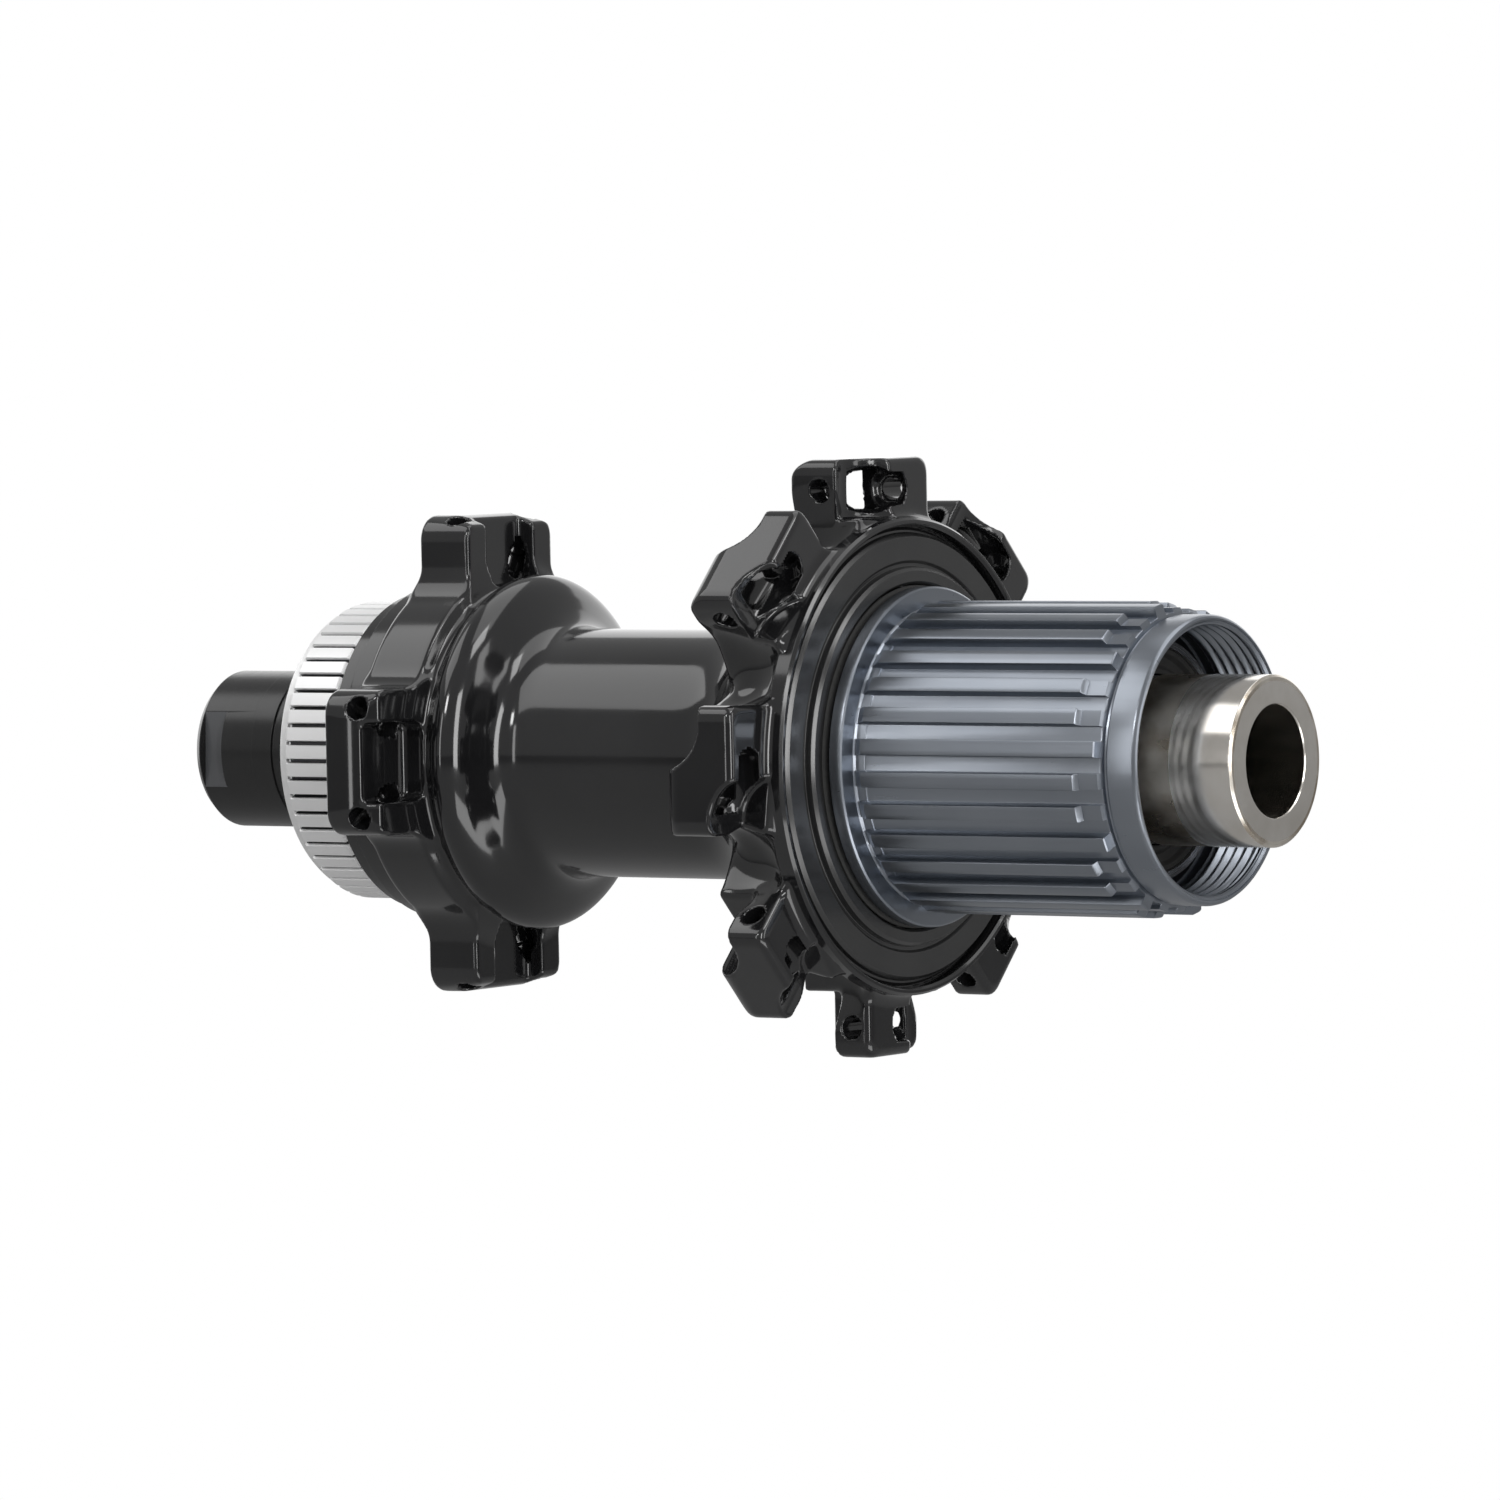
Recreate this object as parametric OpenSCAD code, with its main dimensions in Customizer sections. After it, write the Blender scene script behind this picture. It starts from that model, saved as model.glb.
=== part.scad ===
// Rear disc hub for a 12 mm through axle, straight-pull spokes and a splined freehub.
// Millimetres. The axle lies along Y, the origin is midway between the two end faces,
// the freehub (drive) side is at -Y, the brake rotor side is at +Y, Z is up, X is forward.
// Helper modules take s, the distance from the centre towards the drive side (s = -Y).

/* [Overall] */
// Width over the two end faces
hub_width = 142; // [135:1:157]
// Radius of the hole for the through axle
axle_bore_r = 6.2; // [5:0.05:8]
// Radius of the drive-side axle end
axle_end_r = 9.5; // [8:0.1:11]
// Radius of the rotor-side end cap
cap_r = 9.1; // [8:0.1:11]

/* [Shell] */
// Radius of the plain barrel
barrel_r = 14.2; // [12:0.1:20]
// Lugs on the drive flange, two spokes each
drive_lugs = 8; // [6:1:10]
// Height of the drive lugs from the axis
drive_lug_r = 33.5; // [30:0.1:40]
// Half length of a drive lug along the rim
drive_lug_half = 7.2; // [5:0.1:9]
// Distance of the drive spoke lines from the axis
drive_spoke_r = 30; // [26:0.1:34]
// Lugs on the rotor-side flange, two spokes each
left_lugs = 4; // [3:1:6]
// Height of the rotor-side lugs from the axis
left_lug_r = 27.4; // [24:0.1:34]
// Width of a rotor-side lug
left_lug_w = 16.6; // [12:0.1:20]
// Turn of both flanges about the axle at rest
lug_phase = -2.1; // [-22.5:0.1:22.5]
// Radius of a spoke hole
spoke_hole_r = 1.3; // [1:0.05:1.6]
// Radius of the seat for a spoke head
spoke_seat_r = 2.6; // [2:0.05:3]

/* [Rotor mount] */
// Teeth of the rotor spline
rotor_teeth = 52; // [40:1:60]
// Radius over the rotor spline
rotor_r = 17.2; // [15:0.1:20]

/* [Freehub] */
// Ridges of the sprocket spline
spline_ridges = 30; // [9:1:36]
// Radius over the ridges
spline_r = 17.5; // [16:0.1:18]
// Radius of the spline floor
spline_floor_r = 16.3; // [15.5:0.1:17]
// Radius of the plain end ring
end_ring_r = 16.05; // [15.5:0.05:17]
// Clear radius inside the lockring thread
lockring_r = 14.95; // [14:0.05:15.5]
// Teeth of the ratchet
ratchet_teeth = 24; // [12:12:48]
// Turn of the ridges about the axle at rest
spline_phase = -85.4; // [-180:0.1:180]

/* [Bearings] */
// Radius of a hub ball
hub_ball_r = 1.984; // [1.5:0.001:2.5]
// Radius of the hub ball circle
hub_ball_circle = 10.5; // [9.5:0.1:11.5]
// Hub balls on each side
hub_balls = 15; // [9:1:16]
// Radius of a freehub ball
free_ball_r = 1.5875; // [1:0.0001:2]
// Gap between a ball and its races
race_gap = 0.03; // [0.01:0.01:0.1]

/* [Hidden] */
half = hub_width / 2;
race_r = hub_ball_r + race_gap;
free_race_r = free_ball_r + race_gap;
axle_r = 7.5;
left_ball_y = 42.5;
right_ball_s = 51;
outer_row_s = 46.5;
outer_row_r = 13.3;
inner_row_s = 25.2;
inner_row_r = 15.4;
pawl_pivot_r = 12.3;
lean = 3.7;
black = [0.06, 0.06, 0.065];
satin = [0.16, 0.16, 0.17];
steel = [0.72, 0.70, 0.67];
bluegrey = [0.46, 0.50, 0.56];

// Profile points are [radius, s]; the solid is turned about the axle.
module lathe(p) {
  rotate([90, 0, 0]) rotate_extrude($fn = 144) polygon(p);
}

// Plain ring from s0 to s1.
module ring(s0, s1, ro, ri = 0) {
  translate([0, -s0, 0]) rotate([90, 0, 0]) difference() {
    cylinder(h = s1 - s0, r = ro, $fn = 144);
    if (ri > 0) translate([0, 0, -1]) cylinder(h = s1 - s0 + 2, r = ri, $fn = 144);
  }
}

// Ring-shaped groove with a round section.
module groove(s, pitch_r, r) {
  translate([0, -s, 0]) rotate([90, 0, 0]) rotate_extrude($fn = 144)
    translate([pitch_r, 0]) circle(r = r, $fn = 48);
}

// Extrudes an outline drawn across the axle (x right, y up) from s0 to s1.
module across(s0, s1) {
  translate([0, -s0, 0]) rotate([90, 0, 0]) linear_extrude(s1 - s0) children();
}

// A toothed outline: n lands of half angle h at ro[i % k] over a floor radius ri.
module toothed(n, ro, ri, h, phase) {
  k = len(ro);
  p = 360 / n;
  pts = [for (i = [0:n - 1]) for (q = [
    [ri, -h - 0.01], [ro[i % k], -h], [ro[i % k], h], [ri, h + 0.01]])
    [q[0] * sin(phase + i * p + q[1]), q[0] * cos(phase + i * p + q[1])]];
  polygon(pts);
}

// Balls of one row.
module ball_row(n, pitch_r, s, r) {
  for (i = [0:n - 1]) rotate([0, i * 360 / n, 0]) translate([0, -s, pitch_r])
    sphere(r = r, $fn = 40);
}

// One drive-side lug, pointing up; the outboard spoke leaves towards +X.
module drive_lug() {
  h = drive_lug_half;
  w = drive_lug_r;
  intersection() {
    rotate([90, 0, 90]) translate([0, 0, -h]) linear_extrude(2 * h)
      polygon([[-12.4, 18], [-12.4, w - 2.2], [-13.4, w - 0.7], [-14.6, w], [-20.9, w],
        [-21.8, w - 0.8], [-21.8, 18]]);
    across(12, 22.4) polygon([[-h - 1.6, 18], [-h, 24.5], [-h, w - 1.1], [-h + 1.1, w],
      [h - 1.1, w], [h, w - 1.1], [h, 24.5], [h + 1.6, 18]]);
  }
}

// Everything taken out of one drive-side lug.
module drive_lug_cuts() {
  // scoops that let the spoke heads in
  translate([-5.9, -23, 26.8]) cylinder(r = 5.2, h = 10, $fn = 72);
  translate([5.3, -12.1, 26.2]) cylinder(r = 5.2, h = 10, $fn = 72);
  // outboard spoke: seat and hole
  translate([0, -19.8, drive_spoke_r]) rotate([0, 0, lean]) rotate([0, 90, 0]) {
    translate([0, 0, -4.7]) cylinder(r = spoke_seat_r, h = 8.4, $fn = 48);
    cylinder(r = spoke_hole_r, h = 12, $fn = 36);
  }
  // inboard spoke: seat and hole
  translate([0, -16.8, drive_spoke_r]) rotate([0, 0, -lean]) rotate([0, -90, 0]) {
    translate([0, 0, -2.3]) cylinder(r = spoke_seat_r, h = 6, $fn = 48);
    cylinder(r = spoke_hole_r, h = 12, $fn = 36);
  }
}

// One rotor-side lug outline, pointing up.
module left_lug_outline() {
  w = left_lug_w / 2;
  r = left_lug_r;
  polygon([[-w - 3, 14], [-w, 20.5], [-w, r - 2.4], [-w + 0.8, r - 0.8], [-w + 2.6, r],
    [w - 2.6, r], [w - 0.8, r - 0.8], [w, r - 2.4], [w, 20.5], [w + 3, 14]]);
}

// Pocket, spoke seats and spoke holes of one rotor-side lug.
module left_lug_cuts() {
  translate([-4.45, 31, 19.6]) cube([8.9, 2.5, 12]);
  translate([-3.6, 31, 18.8]) cube([7.2, 2.5, 12]);
  for (m = [-1, 1]) translate([m * 6.6, 33.9, left_lug_r]) rotate([lean + 1, 0, 0])
    rotate([0, m * 23, 0]) {
      translate([0, 0, -8]) cylinder(r = spoke_hole_r, h = 10, $fn = 36);
      translate([0, 0, -9.6]) cylinder(r = 2.1, h = 5.4, $fn = 48);
    }
}

module hub_shell() color(black) difference() {
  union() {
    lathe([[6, -53], [16, -53], [16.6, -52.4], [16.6, -51.6], [16.3, -51.5], [16.3, -44.9],
      [17.9, -44.6], [18.3, -44.2], [18.3, -42.2], [19.3, -41.8], [19.3, -39.6],
      [20.2, -39.0], [20.5, -38.4], [20.5, -38.2], [20.5, -31.3], [19.2, -30.6],
      [19.0, -30.0], [19.7, -29.2], [20.3, -28.2], [20.3, -27.2], [19.8, -26.3],
      [18.8, -25.5], [17.5, -24.9], [15.9, -24.1], [14.9, -23.2], [14.4, -22.2],
      [barrel_r, -21.2], [barrel_r, 2.0], [14.6, 4], [15.8, 6.5], [17.8, 9],
      [20.3, 11.2], [22.6, 12.9], [24.2, 15], [25.0, 17.5], [25.3, 20], [26.2, 21.1],
      [26.8, 21.6], [26.8, 23.4], [26.4, 23.8], [6, 23.8]]);
    across(-51.6, -44.9) toothed(rotor_teeth, [rotor_r], 15.9, 2.5, 0);
    for (i = [0:drive_lugs - 1]) rotate([0, lug_phase + i * 360 / drive_lugs, 0])
      drive_lug();
    for (i = [0:left_lugs - 1]) rotate([0, lug_phase + i * 360 / left_lugs, 0])
      across(-38.2, -31.3) left_lug_outline();
  }
  for (i = [0:drive_lugs - 1]) rotate([0, lug_phase + i * 360 / drive_lugs, 0])
    drive_lug_cuts();
  for (i = [0:left_lugs - 1]) rotate([0, lug_phase + i * 360 / left_lugs, 0])
    left_lug_cuts();
  // inside: rotor lockring thread, cup seat, barrel, bolt thread, freehub spigot, recess
  lathe([[0, -54], [15.6, -54], [14.5, -52.8], [14.5, -51.9], [15, -51.5], [14.5, -51.1],
    [14.5, -50.7], [15, -50.3], [14.5, -49.9], [14.5, -49.5], [15, -49.1], [14.5, -48.7],
    [14.5, -48.3], [15, -47.9], [14.5, -47.5], [14.5, -46.8], [13.4, -46.8], [13.4, -38],
    [12.2, -38], [12.2, 6], [8.9, 6], [8.9, 15], [11, 15], [11, 22], [25.85, 22],
    [25.85, 25], [0, 25]]);
}

module left_bearing_cup() color(steel) difference() {
  ring(-44.6, -38, 13.4, 10.1);
  ring(-45, -left_ball_y, hub_ball_circle + race_r - 0.01);
  groove(-left_ball_y, hub_ball_circle, race_r);
}

module left_dust_seal() color(satin)
  lathe([[9.55, -46.7], [9.85, -46.2], [9.85, -45.5], [13.4, -45.5], [13.4, -46.7],
    [12.4, -46.7], [12.0, -46.2], [10.6, -46.2], [10.1, -46.7]]);

module grease_sleeve() color(satin) difference() {
  ring(-39.2, 6, 10.1, 9.5);
  ring(-37.5, 5, 11, 9.9);
}

module freehub_inner_body() color(steel) difference() {
  union() {
    ring(15.2, 22.2, 11, 8.9);
    ring(22, 24.3, 14.95, 8.9);
    ring(24, 42, 13.6, 8.9);
    ring(41.5, 44.5, 12.6, 10.9);
    // dogs against turning in the shell
    for (i = [0:5]) rotate([0, i * 60, 0]) translate([-1.2, -22, 9.5]) cube([2.4, 5, 1.45]);
  }
  ring(27, 45, 9.8);
  ring(41.5, 46, 10.9);
  groove(inner_row_s, inner_row_r, free_race_r);
  ring(inner_row_s, 26.83, 17, 13.77);
  pawl_slots();
  ring(36.6, 37.4, 14, 12.9);
}

// Slots for the two pawls.
module pawl_slots() {
  for (a = [0, 180]) rotate([0, a, 0]) across(33.4, 40.6) {
    translate([0, pawl_pivot_r]) circle(r = 1.25, $fn = 48);
    polygon([[0.4, 14.5], [0.9, 11.5], [0, 11.05], [-5.4, 10.95], [-5.4, 14.5]]);
  }
}

// One pawl, its nose towards -X and its heel round the pivot.
module pawl() difference() {
  across(33.5, 40.5) union() {
    translate([0, pawl_pivot_r]) circle(r = 1.2, $fn = 48);
    polygon([[-0.1, 13.46], [-2.5, 13.2], [-4.7, 12.72], [-4.95, 12.5], [-4.95, 11.35],
      [-4.6, 11.12], [-0.1, 11.12]]);
  }
  // groove for the wire spring, deep enough for the whole swing
  across(36.3, 37.7) polygon([[2, 15], [2, 12.3], [-0.9, 12.3], [-2, 12.05], [-3, 11.7],
    [-3.6, 11.35], [-3.7, 10], [-6, 10], [-6, 15]]);
}

module pawl_upper() color(steel) pawl();
module pawl_lower() color(steel) rotate([0, 180, 0]) pawl();

module pawl_spring() color(steel) difference() {
  groove(37, 13.2, 0.26);
  rotate([0, 90, 0]) translate([-1.5, -38, 12]) cube([3, 2, 3]);
}

module freehub_fixing_bolt() color(steel) difference() {
  union() {
    ring(6.2, 27, 8.9, 7.9);
    ring(27, 31, 9.3, 7.9);
  }
  for (i = [0:5]) rotate([0, i * 60, 0]) translate([-1, -31.5, 7]) cube([2, 3, 3]);
}

module right_bearing_cup() color(steel) difference() {
  union() {
    ring(41.7, 44.6, 10.9, 9.8);
    ring(44.5, 48, 11.69, 9.8);
    ring(outer_row_s, 56, 13.3, 9.8);
  }
  groove(outer_row_s, outer_row_r, free_race_r);
  ring(46.8, 57, 10.1);
  ring(right_ball_s, 57, hub_ball_circle + race_r - 0.01);
  groove(right_ball_s, hub_ball_circle, race_r);
  // two notches for the cup tool
  for (a = [0, 180]) rotate([0, a, 0]) translate([-1.5, -56.5, 12]) cube([3, 2, 3]);
}

module right_cone_seal() color(satin)
  lathe([[9.4, 55.6], [9.8, 54.9], [9.8, 53.8], [12.5, 53.8], [12.5, 55.6], [11.9, 55.6],
    [11.5, 55.1], [10.5, 55.1], [10, 55.6]]);

module right_cup_seal() color(satin)
  lathe([[13.32, 52], [14.8, 52], [14.8, 52.6], [14.1, 53], [14.1, 53.6], [13.32, 53.6]]);

module drive_dust_cover() color(satin)
  lathe([[19.35, 22.6], [19.35, 24.3], [21.4, 24.3], [21.7, 24.0], [21.9, 23.5],
    [25.3, 23.5], [25.6, 23.2], [25.8, 23.0], [25.8, 22.02], [22.5, 22.02], [21.9, 22.6]]);

module axle_tube() color(steel) difference() {
  lathe([[axle_bore_r + 0.6, half], [axle_end_r - 0.5, half], [axle_end_r, half - 0.5],
    [axle_end_r, half - 7.4], [axle_end_r - 0.2, half - 7.6], [axle_end_r - 0.2, 57],
    [axle_r, 57], [axle_r, -48], [axle_r, 2 - half], [axle_bore_r, 2 - half],
    [axle_bore_r, half - 0.6]]);
  // thread for the cone and the end cap
  for (i = [0:2]) ring(-52.6 - i * 5, -52.2 - i * 5, 8.5, axle_r - 0.15);
}

module cone_shape(s, m) {
  // m = 1 on the drive side, -1 on the rotor side
  mirror([0, m < 0 ? 1 : 0, 0]) difference() {
    lathe([[axle_r, s - 2.8], [8.2, s - 2.8], [8.46, s - 2.5], [8.46, s], [8.9, s + 0.3],
      [10.2, s + 1.4], [10.2, s + 2.4], [9.3, s + 2.7], [9.3, s + (m > 0 ? 6 : 7)],
      [axle_r, s + (m > 0 ? 6 : 7)]]);
    groove(s, hub_ball_circle, race_r);
  }
}

module right_cone() color(steel) cone_shape(right_ball_s, 1);

module left_cone() color(steel) difference() {
  cone_shape(left_ball_y, -1);
  // flats for a cone spanner
  for (m = [-1, 1]) translate([m * 8.4 - (m < 0 ? 2 : 0), 46.9, -8]) cube([2, 2, 16]);
}

module left_spacer() color(steel) difference() {
  lathe([[axle_r, -51.5], [8.5, -51.5], [8.7, -51.3], [8.7, -49.7], [8.5, -49.5],
    [axle_r, -49.5]]);
}

module left_end_cap() color(satin) difference() {
  lathe([[axle_r, -51.5], [cap_r - 0.3, -51.5], [cap_r, -51.8], [cap_r, -58.9],
    [cap_r - 0.25, -59.1], [cap_r - 0.25, -59.5], [cap_r, -59.7], [cap_r, 0.9 - half],
    [cap_r - 0.9, -half], [axle_bore_r + 0.5, -half], [axle_bore_r, 0.5 - half],
    [axle_bore_r, 2 - half], [axle_r, 2 - half]]);
  for (m = [-1, 1]) translate([m > 0 ? 8 : -11, 66.8, -8]) cube([3, 3.1, 16]);
}

module freehub_body() color(bluegrey) difference() {
  union() {
    lathe([[12, 23.2], [17.9, 23.2], [18.3, 23.6], [18.3, 24.6], [18.8, 24.9],
      [19.1, 25.2], [19.1, 26.2], [18.7, 26.5], [17.3, 26.5], [spline_floor_r, 27.1],
      [spline_floor_r, 59.2], [15.9, 59.3], [15.9, 59.5], [end_ring_r, 59.8],
      [end_ring_r, 62.4], [15.6, 62.9], [12, 62.9]]);
    across(26.9, 55.6) toothed(spline_ridges, [spline_r], spline_floor_r - 0.4, 2.9,
      spline_phase);
    across(55.6, 59.1) toothed(spline_ridges, [spline_r, 16.8, 16.8], spline_floor_r - 0.4,
      2.9, spline_phase);
  }
  // inside: open inner race, ratchet seat, shoulder, outer race, lockring thread
  lathe([[0, 22], [17.01, 22], [17.01, inner_row_s], [15.4, inner_row_s], [15.2, 26.8],
    [15.2, 41.5], [13.9, 41.5], [13.9, outer_row_s], [14.91, outer_row_s],
    [lockring_r, 56.2], [15.35, 56.6], [lockring_r, 57], [lockring_r, 57.4],
    [15.35, 57.8], [lockring_r, 58.2], [lockring_r, 58.6], [15.35, 59], [lockring_r, 59.4],
    [lockring_r, 59.8], [15.35, 60.2], [lockring_r, 60.6], [lockring_r, 61],
    [15.35, 61.4], [lockring_r, 61.8], [lockring_r, 62.3], [15.4, 63], [0, 63]]);
  groove(inner_row_s, inner_row_r, free_race_r);
  groove(outer_row_s, outer_row_r, free_race_r);
}

module ratchet_ring() color(steel) across(32.5, 41.4) difference() {
  circle(r = 15.2, $fn = 144);
  ratchet_hole();
}

// The opening of the ratchet: steep faces push the pawl noses one way only.
module ratchet_hole() {
  p = 360 / ratchet_teeth;
  pts = [for (i = [0:ratchet_teeth - 1]) for (q = [
    [14.8, 0], [14.8, 5.2], [14.0, 13.2], [14.0, 14.99]])
    [q[0] * sin(i * p + q[1] - 24.2), q[0] * cos(i * p + q[1] - 24.2)]];
  polygon(pts);
}

module freehub_rear_seal() color(satin)
  lathe([[18.3, 23.7], [19.2, 23.9], [19.2, 24.2], [18.3, 24.5]]);

module retainer(s, m) mirror([0, m < 0 ? 1 : 0, 0]) difference() {
  ring(s - 2.6, s + 0.9, 9.8, 9.0);
  for (i = [0:hub_balls - 1]) rotate([0, i * 360 / hub_balls, 0])
    translate([0, -s, hub_ball_circle]) sphere(r = hub_ball_r + 0.05, $fn = 40);
}

module left_hub_balls() color(steel)
  ball_row(hub_balls, hub_ball_circle, -left_ball_y, hub_ball_r);
module left_ball_retainer() color(steel) retainer(left_ball_y, -1);
module right_hub_balls() color(steel)
  ball_row(hub_balls, hub_ball_circle, right_ball_s, hub_ball_r);
module right_ball_retainer() color(steel) retainer(right_ball_s, 1);
module freehub_outer_balls() color(steel)
  ball_row(25, outer_row_r, outer_row_s, free_ball_r);
module freehub_inner_balls() color(steel)
  ball_row(29, inner_row_r, inner_row_s, free_ball_r);

hub_shell();
left_bearing_cup();
left_dust_seal();
grease_sleeve();
freehub_inner_body();
freehub_fixing_bolt();
right_bearing_cup();
right_cone_seal();
right_cup_seal();
drive_dust_cover();
pawl_spring();
axle_tube();
left_cone();
left_spacer();
left_end_cap();
right_cone();
freehub_body();
ratchet_ring();
freehub_rear_seal();
left_hub_balls();
left_ball_retainer();
right_hub_balls();
right_ball_retainer();
freehub_outer_balls();
freehub_inner_balls();
pawl_upper();
pawl_lower();
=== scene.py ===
import math

import bpy
import numpy as np
import openvdb as vdb
from mathutils import Matrix, Vector


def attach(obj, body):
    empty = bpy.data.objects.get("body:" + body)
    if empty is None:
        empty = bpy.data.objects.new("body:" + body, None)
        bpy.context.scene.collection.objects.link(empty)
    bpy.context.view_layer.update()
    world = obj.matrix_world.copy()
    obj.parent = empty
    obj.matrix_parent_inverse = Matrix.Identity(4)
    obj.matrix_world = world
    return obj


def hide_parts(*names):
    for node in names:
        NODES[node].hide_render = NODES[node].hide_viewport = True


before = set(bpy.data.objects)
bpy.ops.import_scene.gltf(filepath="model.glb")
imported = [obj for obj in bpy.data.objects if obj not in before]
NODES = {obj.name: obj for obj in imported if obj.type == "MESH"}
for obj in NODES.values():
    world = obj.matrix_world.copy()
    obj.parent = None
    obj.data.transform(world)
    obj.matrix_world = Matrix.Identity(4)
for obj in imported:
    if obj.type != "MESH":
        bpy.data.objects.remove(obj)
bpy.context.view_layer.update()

# ------------------------------------------------------------------ sizes, in mm
# s is the distance from the middle towards the drive side, so Y = -s.
# In a lug's own frame, u runs across the lug and w out through it.
VOXEL = 0.31  # grid of the shell's distance field
LUG_TURN = math.radians(-2.1)  # turn of all the lugs about the axle
HOLE_R = 1.3  # spoke holes

DRIVE_LUGS = 8
LUG_HALF, LUG_TOP, LUG_FOOT = 7.2, 33.5, 20
LUG_FACE, LUG_BACK = 21.8, 12.3
RAKE_FROM, RAKE, RAKE_SCALE = 13.8, 0.9, 0.743  # the lug's back corner is cut away
# scoops for the spoke heads: u, s, radius, floor and how soft the floor's edge is
SCOOP_OUT = (-5.9, 23.75, 5.2, 26.85, 0.5)
SCOOP_IN = (5.3, 12.1, 5.15, 26.2, 1.2)
VALLEY_S, VALLEY_W, VALLEY_R = 15.2, 28.6, 4.6
VALLEY_LONG, VALLEY_DEEP = 1.5, 1.15
DRIVE_LEAN = math.radians(3.7)
DRIVE_SEAT_R, DRIVE_SPOKE_W = 2.6, 30.0
# for each spoke of a lug: the way it leaves, its s, and the start and end of its seat
DRIVE_SPOKES = ((1, 19.8, -4.7, 2.6), (-1, 16.8, -1.9, 4.1))
SEAT_TAPER = 0.9  # over the last mm of the seat

ROTOR_LUGS = 4
PLATE_HALF, PLATE_TOP, PLATE_ROUND, PLATE_FOOT = 8.3, 27.4, 2.9, 12
PLATE_FAR, PLATE_NEAR = 38.2, 31.3  # faces of the lug plate, along Y
SLOPE_FROM, SLOPE, SLOPE_SCALE = 34.6, 0.36, 0.94
POCKET_HALF, POCKET_FLOOR, POCKET_ROUND = 4.55, 18.9, 1.3
POCKET_FAR, POCKET_NEAR = 33.4, 30.4
ROTOR_LEAN, ROTOR_SPREAD = math.radians(4.7), math.radians(23)
ROTOR_SPOKE_U, ROTOR_SPOKE_S, ROTOR_SPOKE_W = 6.6, -33.9, 27.4
PAD_DEPTH, ROTOR_SEAT_R = 0.45, 1.7

SPLINE_TEETH = 52
LAND_R, GROOVE_R = 17.2, 16.2

RIDGES, RIDGE_TURN = 30, -85.4  # the second in degrees
RIDGE_R, RIDGE_LOW_R, VALLEY_FLOOR_R = 17.5, 16.8, 16.3

CAMERA_AZ, CAMERA_EL = math.radians(-55.783), math.radians(1.04)
CAMERA_AWAY, CAMERA_ASIDE, CAMERA_UP = 1133.7, 1.188, 0.491
FLOOR_Z, FLOOR_HALF = -0.16, 4  # metres


# ------------------------------------------------------------------ mesh helpers
def make(name, verts, faces, mat, body, normals=None, sharp=32.0):
    me = bpy.data.meshes.new(name)
    v = np.asarray(verts, np.float64) * 0.001
    me.from_pydata(v.tolist(), [], [list(map(int, f)) for f in faces])
    me.validate()
    me.update()
    for p in me.polygons:
        p.use_smooth = True
    if normals is None:
        me.set_sharp_from_angle(angle=math.radians(sharp))
    else:
        me.normals_split_custom_set_from_vertices(normals.tolist())
    me.materials.append(mat)
    ob = bpy.data.objects.new(name, me)
    bpy.context.scene.collection.objects.link(ob)
    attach(ob, body)
    return ob


def rounded(profile, radius, closed=True, steps=3):
    """Rounds the corners of an outline of (r, s, optional own radius) points."""
    n = len(profile)
    out = []
    for i, p in enumerate(profile):
        rad = p[2] if len(p) > 2 else radius
        if not closed and i in (0, n - 1):
            out.append((p[0], p[1]))
            continue
        a = np.array(profile[i - 1][:2], float)
        b = np.array(p[:2], float)
        c = np.array(profile[(i + 1) % n][:2], float)
        la, lc = np.linalg.norm(a - b), np.linalg.norm(c - b)
        if rad <= 0 or la < 1e-6 or lc < 1e-6:
            out.append((p[0], p[1]))
            continue
        cosang = float(np.clip(np.dot(a - b, c - b) / la / lc, -1, 1))
        if cosang < -0.985:
            out.append((p[0], p[1]))
            continue
        t = min(rad / max(math.tan(math.acos(cosang) / 2), 0.05), la * 0.45, lc * 0.45)
        p0, p1 = b + (a - b) / la * t, b + (c - b) / lc * t
        if la > t * 2.2:
            q = b + (a - b) / la * (t + min(0.05, la * 0.04))
            out.append((float(q[0]), float(q[1])))
        for k in range(steps + 1):
            f = k / steps
            q = (1 - f) ** 2 * p0 + 2 * f * (1 - f) * b + f * f * p1
            out.append((float(q[0]), float(q[1])))
        if lc > t * 2.2:
            q = b + (c - b) / lc * (t + min(0.05, lc * 0.04))
            out.append((float(q[0]), float(q[1])))
    return out


def turned(rows, thetas, flip=False):
    """A closed surface through outlines of (r, s), one row for each angle about the axle."""
    verts = [
        (r * math.sin(th), -s, r * math.cos(th)) for th, row in zip(thetas, rows) for r, s in row
    ]
    m, n = len(thetas), len(rows[0])
    faces = []
    for i in range(m):
        j = (i + 1) % m
        for k in range(n):
            q = (k + 1) % n
            if flip:
                faces.append((i * n + k, i * n + q, j * n + q, j * n + k))
            else:
                faces.append((i * n + k, j * n + k, j * n + q, i * n + q))
    return verts, faces


def lathe(name, profile, mat, body, radius=0.12, seg=192, sharp=32.0):
    """A closed outline of (r, s) turned about the axle."""
    prof = rounded(profile, radius)
    area = sum(
        prof[i - 1][0] * prof[i][1] - prof[i][0] * prof[i - 1][1] for i in range(len(prof))
    )
    if area < 0:
        prof = prof[::-1]
    thetas = [2 * math.pi * i / seg for i in range(seg)]
    verts, faces = turned([prof] * seg, thetas)
    return make(name, verts, faces, mat, body, sharp=sharp)


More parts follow.
